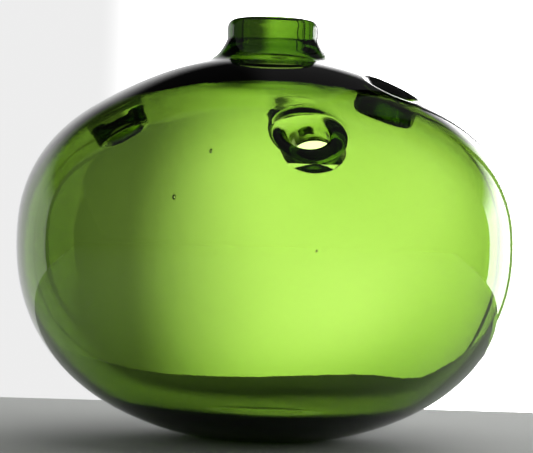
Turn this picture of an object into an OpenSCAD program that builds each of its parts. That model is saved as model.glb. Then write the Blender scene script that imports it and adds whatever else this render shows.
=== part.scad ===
// Hand-blown glass bud vase: a low round body with a short neck in the middle
// and four stem holes punched down through the shoulder around it.
// Origin: centre of the flat base, +Z up. Millimetres. The side that carries
// the lowest-angle stem hole faces -Y.

/* [Body] */
// Greatest radius of the body, outside
body_r = 80; // [79:0.5:84]
// Height of the greatest radius above the base
belly_z = 61.5; // [60.5:0.5:62.5]
// Depth of the full lower curve below the belly, before the base is ground flat
lower_depth = 63; // [63:0.5:64.5]
// Rise of the upper curve above the belly
upper_rise = 55.5; // [54.5:0.5:56.5]
// Squareness of the lower curve, 2 is an ellipse
lower_power = 2.19; // [2.11:0.02:2.35]
// Squareness of the upper curve, 2 is an ellipse
upper_power = 2.28; // [2.2:0.02:2.36]

/* [Glass] */
// Thickness of the body's wall, the same all round
wall = 3; // [2.8:0.1:3.6]
// Thickness of the base
floor_t = 6; // [5:0.5:7]

/* [Neck] */
// Overall height, base to lip
height = 133.5; // [132.5:0.5:136]
// Outside radius of the neck at its straight part
neck_r = 14.8; // [14:0.1:16]
// Radius of the neck bore
bore_r = 9.8; // [9:0.1:10.6]
// Length of the straight bore below the lip
bore_len = 8; // [6:0.5:9]
// Rounding of the lip's outer edge
lip_round = 2.8; // [2:0.1:3]
// Rounding of the lip's inner edge
lip_inner_round = 1.6; // [1:0.1:1.8]
// Height of the lip ring, the last gather at the top of the neck
lip_h = 4.5; // [4:0.1:5.5]

/* [Stem holes] */
// Radius of each hole's straight throat
throat_r = 5.8; // [5.4:0.1:6.2]
// Length of the straight throat
throat_len = 4; // [3:0.5:5]
// Rounding where the shoulder turns down into a hole
mouth_round = 3.8; // [3:0.1:4]
// Thickness of the turned-down tube
tube_wall = 3.8; // [3.2:0.1:4]
// Azimuth of the front hole, measured from -Y towards +X
front_az = 9; // [4:1:14]
// Azimuth of the right hole
right_az = 58; // [54:1:64]
// Azimuth of the back hole
back_az = 168; // [160:1:176]
// Azimuth of the left hole
left_az = 256; // [246:1:262]
// Distance of the front hole from the vase's axis
front_dist = 67; // [64:0.5:68]
// Distance of the right hole from the vase's axis
right_dist = 44; // [42:0.5:47]
// Distance of the back hole from the vase's axis
back_dist = 45.5; // [43:0.5:49]
// Distance of the left hole from the vase's axis
left_dist = 54; // [51:0.5:57]
// Lean of the front hole's axis from the vertical
front_lean = 42; // [39:1:45]
// Lean of the right hole's axis
right_lean = 22; // [19:1:25]
// Lean of the back hole's axis
back_lean = 25; // [21:1:27]
// Lean of the left hole's axis
left_lean = 31; // [28:1:34]
// Sideways slant of the front hole, where the tool went in askew
front_side = 8; // [0:1:9]

/* [Hidden] */
$fn = 96;

glass = [0.36, 0.66, 0.16, 0.55];
thick_glass = [0.14, 0.32, 0.08, 0.85];

seat_r = 13;        // radius of the round seat that each stem hole fills in the shoulder
flare_r = 56;       // radius at which the shoulder starts to rise into the neck
joint_r = 20;       // radius of the joint between shoulder and neck
base_joint_z = 12;  // height of the joint between base and bowl
bowl_joint_z = 38;  // height of the joint between bowl and belly
belly_joint_z = 76; // height of the joint between belly and shoulder
lip_z = height - lip_h;

// Quarter of a superellipse, from the belly (t = 0) to the pole (t = 90).
function se(r, h, p, t) = [r * pow(cos(t), 2 / p), h * pow(sin(t), 2 / p)];
// Height of the outer upper curve at radius r, and its slope there.
function upper_z(r) = belly_z + upper_rise * pow(1 - pow(r / body_r, upper_power), 1 / upper_power);
function upper_slope(r) = -(upper_rise / body_r) * pow(r / body_r, upper_power - 1) * pow(1 - pow(r / body_r, upper_power), 1 / upper_power - 1);
// Radius of the lower curve at depth d below the belly.
function lower_r(d) = body_r * pow(1 - pow(d / lower_depth, lower_power), 1 / lower_power);
// Point on a cubic curve.
function bez(a, b, c, d, t) = pow(1 - t, 3) * a + 3 * pow(1 - t, 2) * t * b + 3 * (1 - t) * t * t * c + pow(t, 3) * d;

// The flare from shoulder to neck, outside.
f0 = [flare_r, upper_z(flare_r)];
f1 = f0 + 32 * [-1, -upper_slope(flare_r)];
f3 = [neck_r, lip_z - 2];
f2 = f3 + [5, -12];
foot_r = lower_r(belly_z);          // radius of the flat that the vase stands on
foot_t = acos(pow(foot_r / body_r, lower_power / 2));
flare_t = acos(pow(flare_r / body_r, upper_power / 2));

outer = concat(
    [[0, 0]],
    [for (i = [0:14]) let (q = se(body_r, lower_depth, lower_power, foot_t * (1 - i / 14))) [q[0], max(0, belly_z - q[1])]],
    [for (i = [1:11]) let (q = se(body_r, upper_rise, upper_power, flare_t * i / 11)) [q[0], belly_z + q[1]]],
    [for (i = [1:12]) bez(f0, f1, f2, f3, i / 12)],
    [[neck_r, height - lip_round]],
    [for (i = [1:6]) [neck_r - lip_round * (1 - cos(15 * i)), height - lip_round * (1 - sin(15 * i))]]
);

// Cavity and bore, from the floor up: the outside moved inwards by the thickness
// of the glass, which grows a little towards the base and up into the neck.
function glass_t(z) = wall + (floor_t - wall) * pow(max(0, 1 - z / 12), 2) + (5.7 - wall) * pow(max(0, (z - 106) / 18), 2);
function inward(i, share = 1) = let (d = outer[i + 1] - outer[i - 1]) outer[i] + share * glass_t(outer[i][1]) / norm(d) * [-d[1], d[0]];
bore_z = height - lip_inner_round - bore_len;
inner = concat(
    [[0, floor_t]],
    [for (i = [2:38]) let (q = inward(i)) if (q[0] > bore_r + 0.2 && q[1] > floor_t + 0.1 && q[1] < bore_z - 0.7) q],
    [[bore_r, bore_z], [bore_r, height - lip_inner_round]],
    [for (i = [1:5]) [bore_r + lip_inner_round * (1 - cos(18 * i)), height - lip_inner_round * (1 - sin(18 * i))]]
);

// The glass on one side of the axis, floor and wall in one outline.
module section() {
    polygon(concat(outer, [for (i = [len(inner) - 1:-1:0]) inner[i]]));
}

// A band of the glass body between two heights.
module band(z0, z1, r0 = 0, r1 = 200) {
    rotate_extrude() intersection() {
        section();
        translate([r0, z0]) square([r1 - r0, z1 - z0]);
    }
}

// Places children on the shoulder, local +Z along the hole's axis, outwards.
// h is [azimuth, distance, lean, side slant].
module at_hole(h) {
    rotate([0, 0, h[0] - 90]) translate([h[1], 0, hole_z(h[1])]) rotate([0, h[2], 0]) rotate([h[3], 0, 0]) children();
}
// Height of the outer surface where a hole sits; near the neck the flare has begun.
function hole_z(dist) = dist < flare_r ? lookup(dist, [for (i = [60:-1:0]) bez(f0, f1, f2, f3, i / 60)]) : upper_z(dist);

FRONT = [front_az, front_dist, front_lean, front_side];
RIGHT = [right_az, right_dist, right_lean, 0];
BACK = [back_az, back_dist, back_lean, 0];
LEFT = [left_az, left_dist, left_lean, 0];

// Depth at which the throat starts, below the surface point.
throat_z = -mouth_round - 0.9;
end_z = throat_z - throat_len;
tube_r = throat_r + tube_wall;

// The air inside one hole: flared mouth, straight throat, open inner end.
module hole_air() {
    rotate_extrude() polygon(concat(
        [[0, end_z - tube_wall - 1], [throat_r + tube_wall / 2, end_z - tube_wall - 1]],
        [for (i = [0:6]) let (a = 15 * i) [throat_r + tube_wall / 2 * (1 - sin(a)) , end_z - tube_wall / 2 * cos(a)] + [0, 0]],
        [[throat_r, throat_z]],
        [for (i = [1:7]) let (a = 90 * i / 7) [throat_r + mouth_round * (1 - cos(a)), throat_z + mouth_round * sin(a)]],
        [[throat_r + mouth_round + 5, throat_z + mouth_round + 0.6], [throat_r + mouth_round + 5, 9], [0, 9]]
    ));
}

// Everything below the middle of the shoulder's glass.
module under_shoulder() {
    mid = [for (i = [18:36]) inward(i, 0.5)];
    rotate_extrude() polygon(concat([[0, mid[0][1]]], mid, [[0, mid[len(mid) - 1][1]]]));
}

// The turned-down tube of one hole, with its rounded inner rim and the
// inside fillet that joins it to the ceiling.
module hole_tube() {
    rotate_extrude() polygon(concat(
        [[0, 4], [0, end_z - tube_wall / 2], [throat_r + tube_wall / 2, end_z - tube_wall / 2]],
        [for (i = [1:6]) let (a = 15 * i) [throat_r + tube_wall / 2 * (1 + sin(a)), end_z - tube_wall / 2 * cos(a)]],
        [for (i = [0:5]) let (a = 18 * i) [tube_r + 1.4 * (1 - cos(a)), -wall - 2.1 + 1.4 * sin(a)]],
        [[tube_r + 1.4, 4]]
    ));
}

module stem_hole(h) {
    color(glass) difference() {
        union() {
            intersection() {
                band(belly_joint_z, 130, joint_r, 90);
                at_hole(h) translate([0, 0, -14]) cylinder(r = seat_r, h = 22);
            }
            intersection() {
                at_hole(h) hole_tube();
                under_shoulder();
            }
        }
        at_hole(h) hole_air();
    }
}

module base() {
    color(thick_glass) band(0, base_joint_z);
}

module bowl() {
    color(glass) band(base_joint_z, bowl_joint_z);
}

module belly() {
    color(glass) band(bowl_joint_z, belly_joint_z);
}

module shoulder() {
    color(glass) difference() {
        band(belly_joint_z, 140, joint_r, 200);
        for (h = [FRONT, RIGHT, BACK, LEFT]) at_hole(h) translate([0, 0, -14]) cylinder(r = seat_r, h = 22);
    }
}

module neck() {
    color(glass) band(90, lip_z, 0, joint_r);
}

module lip_ring() {
    color(thick_glass) band(lip_z, height + 1, 0, joint_r);
}

base();
bowl();
belly();
shoulder();
neck();
lip_ring();
stem_hole(FRONT);  // stem_hole_front
stem_hole(RIGHT);  // stem_hole_right
stem_hole(BACK);  // stem_hole_back
stem_hole(LEFT);  // stem_hole_left
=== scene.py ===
import math

import bmesh
import bpy
import numpy as np
from mathutils import Matrix, Vector


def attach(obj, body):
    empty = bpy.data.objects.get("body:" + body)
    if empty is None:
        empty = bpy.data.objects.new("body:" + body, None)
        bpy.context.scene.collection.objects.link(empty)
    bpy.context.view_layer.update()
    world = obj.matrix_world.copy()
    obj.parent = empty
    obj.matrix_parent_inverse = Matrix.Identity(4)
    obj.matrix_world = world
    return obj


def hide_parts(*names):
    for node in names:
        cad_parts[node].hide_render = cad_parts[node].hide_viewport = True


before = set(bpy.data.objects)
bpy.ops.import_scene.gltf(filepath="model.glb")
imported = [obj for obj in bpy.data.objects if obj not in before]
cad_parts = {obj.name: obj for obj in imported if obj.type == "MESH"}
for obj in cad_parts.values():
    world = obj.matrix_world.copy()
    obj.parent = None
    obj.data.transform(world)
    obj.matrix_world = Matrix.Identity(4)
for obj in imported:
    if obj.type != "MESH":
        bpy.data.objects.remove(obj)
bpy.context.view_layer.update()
scene = bpy.context.scene

# ---------------------------------------------------------------- sizes, mm
BODY_R, BELLY_Z, LOWER_D, UPPER_H, LOWER_P, UPPER_P = 80.0, 61.5, 63.0, 55.5, 2.19, 2.28
WALL, FLOOR_Z = 3.0, 6.0
HEIGHT, NECK_R, BORE_R, BORE_LEN = 133.5, 14.8, 9.8, 8.0
LIP_ROUND, LIP_IN, LIP_H = 2.8, 1.6, 4.5
THROAT_R, THROAT_LEN, MOUTH_ROUND, TUBE_WALL = 5.8, 4.0, 3.8, 3.8
FLARE_R = 56.0
# azimuth from -Y towards +X, distance from the axis, lean of the hole, side slant
HOLES = {"front": (9.0, 67.0, 42.0, 8.0), "right": (58.0, 44.0, 22.0, 0.0),
         "back": (168.0, 45.5, 25.0, 0.0), "left": (256.0, 54.0, 31.0, 0.0)}
# how far the inner end of each tube has drifted along the hole's own x and y
DRIFT = {"front": (0.5, 2.2), "right": (0.3, -0.5), "back": (-0.4, 0.3), "left": (0.2, 0.5)}
COLS = 256
SEAT = 14.3


def upper_z(r):
    return BELLY_Z + UPPER_H * (1 - (r / BODY_R) ** UPPER_P) ** (1 / UPPER_P)


def upper_slope(r):
    q = (r / BODY_R)
    return -(UPPER_H / BODY_R) * q ** (UPPER_P - 1) * (1 - q ** UPPER_P) ** (1 / UPPER_P - 1)


def bez(a, b, c, d, n):
    t = np.linspace(0, 1, n)[:, None]
    a, b, c, d = (np.asarray(v, float) for v in (a, b, c, d))
    return (1 - t) ** 3 * a + 3 * (1 - t) ** 2 * t * b + 3 * (1 - t) * t * t * c + t ** 3 * d


def arc(cx, cz, r, a0, a1, n):
    a = np.radians(np.linspace(a0, a1, n))
    return np.stack([cx + r * np.cos(a), cz + r * np.sin(a)], 1)


def quarter(r, h, p, t0, t1, n):
    t = np.radians(np.linspace(t0, t1, n))
    return np.stack([r * np.cos(t) ** (2 / p), h * np.sin(t) ** (2 / p)], 1)


def even(line, step):
    """The same line with points about step apart, ends kept."""
    d = np.r_[0, np.cumsum(np.linalg.norm(np.diff(line, axis=0), axis=1))]
    n = max(1, int(round(d[-1] / step)))
    s = np.linspace(0, d[-1], n + 1)
    return np.stack([np.interp(s, d, line[:, 0]), np.interp(s, d, line[:, 1])], 1)


# outer profile, foot to lip
foot_r = BODY_R * (1 - (BELLY_Z / LOWER_D) ** LOWER_P) ** (1 / LOWER_P)
foot_t = math.degrees(math.acos((foot_r / BODY_R) ** (LOWER_P / 2)))
flare_t = math.degrees(math.acos((FLARE_R / BODY_R) ** (UPPER_P / 2)))
low = quarter(BODY_R, LOWER_D, LOWER_P, foot_t, 0, 1500)
low[:, 1] = BELLY_Z - low[:, 1]
# the ground foot, with the polished hollow where the iron was cracked off
hollow = np.stack([np.linspace(0, 13, 60), 0.9 * (1 - (np.linspace(0, 13, 60) / 13) ** 2) ** 1.5], 1)
foot_line = np.concatenate([hollow, np.stack([np.linspace(13, foot_r - 1.2, 20)[1:], np.zeros(19)], 1)])
high = quarter(BODY_R, UPPER_H, UPPER_P, 0, flare_t, 1500)
high[:, 1] += BELLY_Z
f0 = np.array([FLARE_R, upper_z(FLARE_R)])
f1 = f0 + 32 * np.array([-1, -upper_slope(FLARE_R)])
f3 = np.array([NECK_R, HEIGHT - LIP_H - 2])
f2 = f3 + np.array([5.0, -12.0])
flare = bez(f0, f1, f2, f3, 3000)
lip_out = arc(NECK_R - LIP_ROUND, HEIGHT - LIP_ROUND, LIP_ROUND, 0, 90, 60)
lip_in = arc(BORE_R + LIP_IN, HEIGHT - LIP_IN, LIP_IN, 90, 180, 40)
# inner profile, floor to bore: the outside moved inwards by the thickness of the glass
c3 = np.array([BORE_R, HEIGHT - LIP_IN - BORE_LEN])
skin = np.concatenate([low, high[1:], flare[1:]])
way = np.gradient(skin, axis=0)
way /= np.linalg.norm(way, axis=1)[:, None]
thick = (WALL + (FLOOR_Z - WALL) * np.clip(1 - skin[:, 1] / 12, 0, 1) ** 2
         + (5.7 - WALL) * np.clip((skin[:, 1] - 106) / 18, 0, 2) ** 2)
inward = skin + np.stack([-way[:, 1], way[:, 0]], 1) * thick[:, None]
keep = ((skin[:, 1] > 0.4) & (inward[:, 0] > BORE_R + 0.2) & (inward[:, 1] > FLOOR_Z + 0.1)
        & (inward[:, 1] < c3[1] - 0.7))
inward = inward[keep]
floor_edge = inward[0] - [1.2, 0.0]
floor_line = np.stack([np.linspace(0, floor_edge[0], 80),
                       FLOOR_Z + (inward[0][1] - FLOOR_Z) * np.linspace(0, 1, 80) ** 3], 1)
cavity = np.concatenate([floor_line, inward, [c3]])

# height of each skin above the belly as a function of radius
_o = np.concatenate([high, flare[1:]])[::-1]
_i = cavity[cavity[:, 1] > BELLY_Z][::-1]


def skin_z(r, skin):
    return np.interp(r, skin[:, 0], skin[:, 1])


# ------------------------------------------------------- hand-blown unevenness
def wobble(p, seed, scale, amount):
    """Smooth, repeatable noise made of a few plane waves."""
    rng = np.random.default_rng(seed)
    out = np.zeros(len(p))
    for _ in range(9):
        k = rng.normal(size=3)
        k /= np.linalg.norm(k)
        k *= rng.uniform(0.6, 1.6) / scale
        out += np.sin(p @ k * 2 * math.pi + rng.uniform(0, 2 * math.pi))
    return amount * out / 3.0


# ------------------------------------------------------------------ hole frames
def hole_frame(az, dist, lean, side):
    lean, side = math.radians(lean), math.radians(side)
    b = math.radians(az - 90)
    c = np.array([dist * math.cos(b), dist * math.sin(b), skin_z(dist, _o)])
    out = np.array([math.cos(b), math.sin(b), 0.0])
    tan = np.array([-math.sin(b), math.cos(b), 0.0])
    up = np.array([0.0, 0.0, 1.0])
    ex = math.cos(lean) * out - math.sin(lean) * up
    top = math.sin(lean) * out + math.cos(lean) * up
    ez = math.cos(side) * top - math.sin(side) * tan
    ey = np.cross(ez, ex)
    return c, ex, ey, ez


FRAMES = {k: hole_frame(*v) for k, v in HOLES.items()}


def skin_height(fr, x, y, skin):
    """Local height of a skin of the body over the local point (x, y) of a hole."""
    c, ex, ey, ez = fr

    def gap(t):
        p = c + x[..., None] * ex + y[..., None] * ey + t[..., None] * ez
        return p[..., 2] - skin_z(np.hypot(p[..., 0], p[..., 1]), skin)

    t = np.zeros_like(x) if skin is _o else np.full_like(x, -3.5)
    for _ in range(30):
        g = gap(t)
        d = (gap(t + 0.05) - g) / 0.05
        t = t - np.clip(g / np.maximum(d, 0.3), -1.5, 1.5)
    return t


# ----------------------------------------------------------------- the revolve
rows = [
    even(foot_line, 1.5)[1:],
    even(np.array([[foot_r - 1.2, 0.0], [foot_r - 0.6, 0.05], [foot_r + 0.6, 0.35]]), 0.45)[1:],
    even(low[low[:, 0] > foot_r + 0.9], 1.6),
    even(high, 1.5)[1:],
    even(flare[:, :], 1.15)[1:],
    even(np.array([f3, [NECK_R, HEIGHT - LIP_ROUND]]), 0.8)[1:],
    even(lip_out, 0.42)[1:],
    even(np.array([lip_out[-1], lip_in[0]]), 0.2)[1:],
    even(lip_in, 0.3)[1:],
]
n_outer = sum(len(r) for r in rows)
inner_rows = [
    even(np.array([[BORE_R, HEIGHT - LIP_IN], c3]), 0.9)[1:],
    even(cavity[cavity[:, 1] > 108][::-1], 1.2)[1:],
    even(cavity[cavity[:, 1] <= 108][::-1], 2.3),
]
line = np.concatenate(rows + inner_rows)
line = line[line[:, 0] > 0.8]
theta = 2 * math.pi * np.arange(COLS) / COLS
P = np.stack([
    line[:, 0][:, None] * np.cos(theta), line[:, 0][:, None] * np.sin(theta),
    np.repeat(line[:, 1][:, None], COLS, 1)], -1)
n_rows = len(line)
is_outer = np.arange(n_rows) < n_outer

bm = bmesh.new()
verts = [[bm.verts.new(P[i, j]) for j in range(COLS)] for i in range(n_rows)]
pole_out = bm.verts.new((0, 0, 0.9))
pole_in = bm.verts.new((0, 0, FLOOR_Z))
outer_verts = {v for row in verts[:n_outer] for v in row}

cent = 0.25 * (P[:-1] + P[1:] + np.roll(P, -1, 1)[:-1] + np.roll(P, -1, 1)[1:])
removed = np.zeros(cent.shape[:2], bool)
for k, (c, ex, ey, ez) in FRAMES.items():
    q = cent - c
    z = q @ ez
    rho = np.hypot(q @ ex, q @ ey)
    removed |= (rho < SEAT) & (z > -15) & (z < 7) & (cent[..., 2] > 80)
for i in range(n_rows - 1):
    for j in range(COLS):
        if removed[i, j]:
            continue
        j2 = (j + 1) % COLS
        bm.faces.new((verts[i][j], verts[i][j2], verts[i + 1][j2], verts[i + 1][j]))
for j in range(COLS):
    j2 = (j + 1) % COLS
    bm.faces.new((pole_out, verts[0][j2], verts[0][j]))
    bm.faces.new((pole_in, verts[-1][j], verts[-1][j2]))
loose = [v for v in bm.verts if not v.link_faces]
bmesh.ops.delete(bm, geom=loose, context="VERTS")

# ------------------------------------------------------------- the stem holes
RING = 96
ang = 2 * math.pi * np.arange(RING) / RING
R0 = 12.7  # outer edge of each patch


def hermite(a, b, c, d, t):
    t = t[:, None, None]
    return (1 - t) ** 3 * a + 3 * (1 - t) ** 2 * t * b + 3 * (1 - t) * t * t * c + t ** 3 * d


def slope_at(fr, rho, skin):
    h0 = skin_height(fr, (rho - 0.3) * np.cos(ang), (rho - 0.3) * np.sin(ang), skin)
    h1 = skin_height(fr, (rho + 0.3) * np.cos(ang), (rho + 0.3) * np.sin(ang), skin)
    return (h1 - h0) / 0.6, 0.5 * (h0 + h1)


for k, fr in FRAMES.items():
    c, ex, ey, ez = fr
    rings = []

    def add(rho, z):
        """A ring of radii rho and local heights z, one value for each angle."""
        rho = np.broadcast_to(rho, (RING,))
        rings.append((rho.copy(), np.broadcast_to(z, (RING,)).copy()))

    # outer skin down to the edge of the mouth
    edge = THROAT_R + MOUTH_ROUND + 0.8
    for rho in np.arange(R0, edge, -0.5):
        add(rho, skin_height(fr, rho * np.cos(ang), rho * np.sin(ang), _o))
    s, h = slope_at(fr, edge, _o)
    throat_z = -MOUTH_ROUND - 0.9
    a = np.stack([np.full(RING, edge), h], 1)
    b = np.stack([np.full(RING, edge) - 2.6, h - 2.6 * s], 1)
    d = np.stack([np.full(RING, THROAT_R), np.full(RING, throat_z)], 1)
    cc = d + [0.0, 2.3]
    curve = hermite(a, b, cc, d, np.linspace(0, 1, 15))
    for q in curve:
        add(q[:, 0], q[:, 1])
    end_z = throat_z - THROAT_LEN
    for z in np.linspace(throat_z, end_z, 9)[1:]:
        add(THROAT_R, z)
    w = TUBE_WALL / 2
    for t in np.radians(np.linspace(180, 360, 15))[1:]:
        add(THROAT_R + w + w * math.cos(t), end_z + w * math.sin(t))
    # outside of the turned-down tube, up into the ceiling
    e2 = THROAT_R + TUBE_WALL + 1.2
    s, h = slope_at(fr, e2, _i)
    a = np.stack([np.full(RING, THROAT_R + TUBE_WALL), np.full(RING, end_z)], 1)
    gap = np.maximum(h - end_z, 0.6)
    b = a + np.stack([np.zeros(RING), 0.75 * gap], 1)
    d = np.stack([np.full(RING, e2), h], 1)
    cc = d - np.stack([np.full(RING, 0.9), 0.9 * s], 1)
    curve = hermite(a, b, cc, d, np.linspace(0, 1, 12))
    for q in curve[1:]:
        add(q[:, 0], q[:, 1])
    for rho in (e2 + 0.6, R0):
        add(rho, skin_height(fr, rho * np.cos(ang), rho * np.sin(ang), _i))
    vs = []
    for rho, z in rings:
        # the tube drifts sideways as it goes down, and not at all at the skins around it
        sink = np.clip((-z - 1.0) / 9.0, 0, 1.1) * np.clip((12.4 - rho) / 2.4, 0, 1)
        dx, dy = DRIFT[k]
        pts = (c + (rho * np.cos(ang) + dx * sink)[:, None] * ex
               + (rho * np.sin(ang) + dy * sink)[:, None] * ey + z[:, None] * ez)
        vs.append([bm.verts.new(p) for p in pts])
    for r1, r2 in zip(vs, vs[1:]):
        for j in range(RING):
            j2 = (j + 1) % RING
            bm.faces.new((r1[j], r2[j], r2[j2], r1[j2]))
    for ring, outer in ((vs[0], True), (vs[-1], False)):
        ring_set = set(ring)
        loop = []
        for e in bm.edges:
            if len(e.link_faces) != 1 or e.verts[0] in ring_set:
                continue
            m = 0.5 * (np.array(e.verts[0].co) + np.array(e.verts[1].co)) - c
            if np.linalg.norm(m) < 24 and (e.verts[0] in outer_verts) == outer:
                loop.append(e)
        mine = [e for e in bm.edges if len(e.link_faces) == 1 and e.verts[0] in ring_set and e.verts[1] in ring_set]
        bmesh.ops.triangle_fill(bm, edges=loop + mine, use_beauty=True, use_dissolve=False)

bm.verts.ensure_lookup_table()
bmesh.ops.recalc_face_normals(bm, faces=bm.faces)
open_edges = sum(1 for e in bm.edges if len(e.link_faces) != 2)
print("vase mesh: faces", len(bm.faces), "edges not shared by two faces", open_edges,
      "volume ml", round(bm.calc_volume() / 1000, 1))

# seeds: small bubbles caught in the middle of the wall, [azimuth, height, radius, stretch]
for az, z, rad, stretch in ((-20.5, 74.4, 0.55, 1.5), (10.2, 60.2, 0.38, 1.3), (-13.8, 87.8, 0.45, 1.8)):
    r_at = float(np.interp(z, cavity[cavity[:, 1] < 105][:, 1], cavity[cavity[:, 1] < 105][:, 0])) + 0.5 * WALL
    b = math.radians(az - 90)
    made = bmesh.ops.create_icosphere(bm, subdivisions=2, radius=rad,
                                      matrix=Matrix.Translation((r_at * math.cos(b), r_at * math.sin(b), z))
                                      @ Matrix.Diagonal((1, 1, stretch, 1)))
    bmesh.ops.reverse_faces(bm, faces=list({f for v in made["verts"] for f in v.link_faces}))

# unevenness: the outside is true to a quarter of a millimetre, the inside less so
co = np.array([v.co for v in bm.verts])
bm.normal_update()
no = np.array([v.normal for v in bm.verts])
r = np.hypot(co[:, 0], co[:, 1])
shift = wobble(co, 3, 70.0, 0.10)
foot_keep = np.clip(co[:, 2] / 6.0, 0, 1)
move = no * (shift * foot_keep)[:, None]
for v, m in zip(bm.verts, move):
    v.co = Vector((np.array(v.co) + m) * 0.001)
mesh = bpy.data.meshes.new("vase_glass")
bm.to_mesh(mesh)
bm.free()
mesh.polygons.foreach_set("use_smooth", np.ones(len(mesh.polygons), bool))
vase = bpy.data.objects.new("vase_glass", mesh)
scene.collection.objects.link(vase)

# ---------------------------------------------------------------- materials
glass = bpy.data.materials.new("green_blown_glass")
glass.use_nodes = True
nt = glass.node_tree
nt.nodes.clear()
out = nt.nodes.new("ShaderNodeOutputMaterial")
bsdf = nt.nodes.new("ShaderNodeBsdfPrincipled")
bsdf.inputs["Base Color"].default_value = (1, 1, 1, 1)
bsdf.inputs["Transmission Weight"].default_value = 1.0
bsdf.inputs["IOR"].default_value = 1.5
tco = nt.nodes.new("ShaderNodeTexCoord")
# cords: faint upright streaks left by the turning, about a centimetre apart
stretch_map = nt.nodes.new("ShaderNodeMapping")
stretch_map.inputs["Scale"].default_value = (1.0, 1.0, 0.25)
nt.links.new(tco.outputs["Object"], stretch_map.inputs["Vector"])
cords = nt.nodes.new("ShaderNodeTexNoise")
cords.inputs["Scale"].default_value = 95.0
cords.inputs["Detail"].default_value = 2.0
nt.links.new(stretch_map.outputs[0], cords.inputs["Vector"])
# fine orange-peel of the fire polish, about a millimetre
peel = nt.nodes.new("ShaderNodeTexNoise")
peel.inputs["Scale"].default_value = 700.0
peel.inputs["Detail"].default_value = 1.0
nt.links.new(tco.outputs["Object"], peel.inputs["Vector"])
bump1 = nt.nodes.new("ShaderNodeBump")
bump1.inputs["Strength"].default_value = 0.045
bump1.inputs["Distance"].default_value = 0.0003
nt.links.new(cords.outputs[0], bump1.inputs["Height"])
bump2 = nt.nodes.new("ShaderNodeBump")
bump2.inputs["Strength"].default_value = 0.05
bump2.inputs["Distance"].default_value = 0.00002
nt.links.new(peel.outputs[0], bump2.inputs["Height"])
nt.links.new(bump1.outputs[0], bump2.inputs["Normal"])
nt.links.new(bump2.outputs[0], bsdf.inputs["Normal"])
# wipe marks: patches a few centimetres wide that are very slightly less polished
wipe = nt.nodes.new("ShaderNodeTexNoise")
wipe.inputs["Scale"].default_value = 30.0
wipe.inputs["Detail"].default_value = 4.0
nt.links.new(tco.outputs["Object"], wipe.inputs["Vector"])
polish = nt.nodes.new("ShaderNodeMapRange")
polish.inputs["From Min"].default_value = 0.45
polish.inputs["From Max"].default_value = 0.75
polish.inputs["To Min"].default_value = 0.0
polish.inputs["To Max"].default_value = 0.02
nt.links.new(wipe.outputs[0], polish.inputs["Value"])
nt.links.new(polish.outputs[0], bsdf.inputs["Roughness"])
nt.links.new(bsdf.outputs[0], out.inputs["Surface"])
absorb = nt.nodes.new("ShaderNodeVolumeAbsorption")
A = np.array([0.350, 0.262, 0.585]) * 1000  # per metre
dens = float(A.max() / 0.98)
absorb.inputs["Color"].default_value = (*[float(1 - a / dens) for a in A], 1)
absorb.inputs["Density"].default_value = dens
nt.links.new(absorb.outputs[0], out.inputs["Volume"])
vase.data.materials.append(glass)
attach(vase, "root")
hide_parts("base", "bowl", "belly", "shoulder", "neck", "lip_ring", "stem_hole_front",
            "stem_hole_right", "stem_hole_back", "stem_hole_left")

# -------------------------------------------------------------------- stage
def emit(name, colour, strength):
    m = bpy.data.materials.new(name)
    m.use_nodes = True
    n = m.node_tree
    n.nodes.clear()
    o = n.nodes.new("ShaderNodeOutputMaterial")
    e = n.nodes.new("ShaderNodeEmission")
    e.inputs["Color"].default_value = (*colour, 1)
    e.inputs["Strength"].default_value = strength
    n.links.new(e.outputs[0], o.inputs["Surface"])
    return m, n, e


def plane(name, size, loc, rot, mat):
    me = bpy.data.meshes.new(name)
    w, h = size[0] / 2, size[1] / 2
    me.from_pydata([(-w, -h, 0), (w, -h, 0), (w, h, 0), (-w, h, 0)], [], [(0, 1, 2, 3)])
    o = bpy.data.objects.new(name, me)
    o.location = loc
    o.rotation_euler = rot
    scene.collection.objects.link(o)
    me.materials.append(mat)
    return o


floor_mat = bpy.data.materials.new("floor_pale")
floor_mat.use_nodes = True
fb = floor_mat.node_tree.nodes["Principled BSDF"]
fb.inputs["Base Color"].default_value = (0.72, 0.735, 0.71, 1)
fb.inputs["Roughness"].default_value = 0.9
plane("floor", (8, 4.14), (0, -1.93, 0), (0, 0, 0), floor_mat)

back_mat, bn, be = emit("backdrop", (1, 1, 1), 1.0)
tc = bn.nodes.new("ShaderNodeTexCoord")
sep = bn.nodes.new("ShaderNodeSeparateXYZ")
ramp = bn.nodes.new("ShaderNodeMapRange")
ramp.interpolation_type = "SMOOTHSTEP"
ramp.inputs["From Min"].default_value = -0.16
ramp.inputs["From Max"].default_value = 0.02
ramp.inputs["To Min"].default_value = 0.85
ramp.inputs["To Max"].default_value = 5.6
bn.links.new(tc.outputs["Object"], sep.inputs[0])
bn.links.new(sep.outputs["X"], ramp.inputs["Value"])
high_ramp = bn.nodes.new("ShaderNodeMapRange")
high_ramp.interpolation_type = "SMOOTHSTEP"
high_ramp.inputs["From Min"].default_value = 0.40 - 0.6
high_ramp.inputs["From Max"].default_value = 0.92 - 0.6
high_ramp.inputs["To Min"].default_value = 1.0
high_ramp.inputs["To Max"].default_value = 0.01
bn.links.new(sep.outputs["Y"], high_ramp.inputs["Value"])
mul = bn.nodes.new("ShaderNodeMath")
mul.operation = "MULTIPLY"
bn.links.new(ramp.outputs[0], mul.inputs[0])
bn.links.new(high_ramp.outputs[0], mul.inputs[1])
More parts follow.
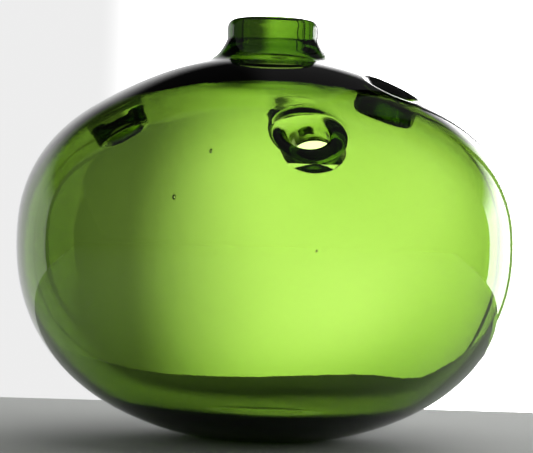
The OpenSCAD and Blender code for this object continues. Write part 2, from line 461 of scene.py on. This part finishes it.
# two dark upright cards beyond the right edge of the view, which draw the rim
last = mul.outputs[0]
for at, half in ((0.44, 0.03), (0.98, 0.08)):
    off = bn.nodes.new("ShaderNodeMath")
    off.operation = "SUBTRACT"
    off.inputs[1].default_value = at
    bn.links.new(sep.outputs["X"], off.inputs[0])
    size = bn.nodes.new("ShaderNodeMath")
    size.operation = "ABSOLUTE"
    bn.links.new(off.outputs[0], size.inputs[0])
    card = bn.nodes.new("ShaderNodeMapRange")
    card.interpolation_type = "SMOOTHSTEP"
    card.inputs["From Min"].default_value = half * 0.8
    card.inputs["From Max"].default_value = half * 1.2
    card.inputs["To Min"].default_value = 0.03
    card.inputs["To Max"].default_value = 1.0
    bn.links.new(size.outputs[0], card.inputs["Value"])
    times = bn.nodes.new("ShaderNodeMath")
    times.operation = "MULTIPLY"
    bn.links.new(last, times.inputs[0])
    bn.links.new(card.outputs[0], times.inputs[1])
    last = times.outputs[0]
bn.links.new(last, be.inputs["Strength"])
plane("backdrop", (5.0, 5.0), (0, 1.3, 0.6), (math.radians(90), 0, 0), back_mat)

world = bpy.data.worlds.new("studio")
scene.world = world
world.use_nodes = True
world.node_tree.nodes["Background"].inputs[0].default_value = (0.11, 0.115, 0.11, 1)
world.node_tree.nodes["Background"].inputs[1].default_value = 1.0


def area(name, loc, target, size, power, colour=(1, 1, 1)):
    li = bpy.data.lights.new(name, "AREA")
    li.shape = "RECTANGLE"
    li.size, li.size_y = size
    li.energy = power
    li.color = colour
    o = bpy.data.objects.new(name, li)
    o.location = loc
    d = Vector(target) - Vector(loc)
    o.rotation_euler = d.to_track_quat("-Z", "Y").to_euler()
    scene.collection.objects.link(o)
    return o


top = area("overhead", (0.25, 0.15, 1.0), (0, -0.1, 0), (1.2, 1.2), 3.2)
top.visible_glossy = False
top.visible_transmission = False
scene.view_settings.view_transform = "Standard"
scene.view_settings.look = "None"

# ------------------------------------------------------------------- camera
cam = bpy.data.cameras.new("camera")
cam.sensor_width = 36.0
cam.lens = 147.6
cam.clip_start = 0.01
co_ = bpy.data.objects.new("camera", cam)
loc = Vector((-0.00046, -0.700, 0.0620))
aim = Vector((-0.00046, 0.0, 0.06737))
q = (aim - loc).to_track_quat("-Z", "Y")
co_.matrix_world = Matrix.Translation(loc) @ (Matrix.Rotation(math.radians(-1.65), 4, (aim - loc).normalized())) @ q.to_matrix().to_4x4()
scene.collection.objects.link(co_)
scene.camera = co_
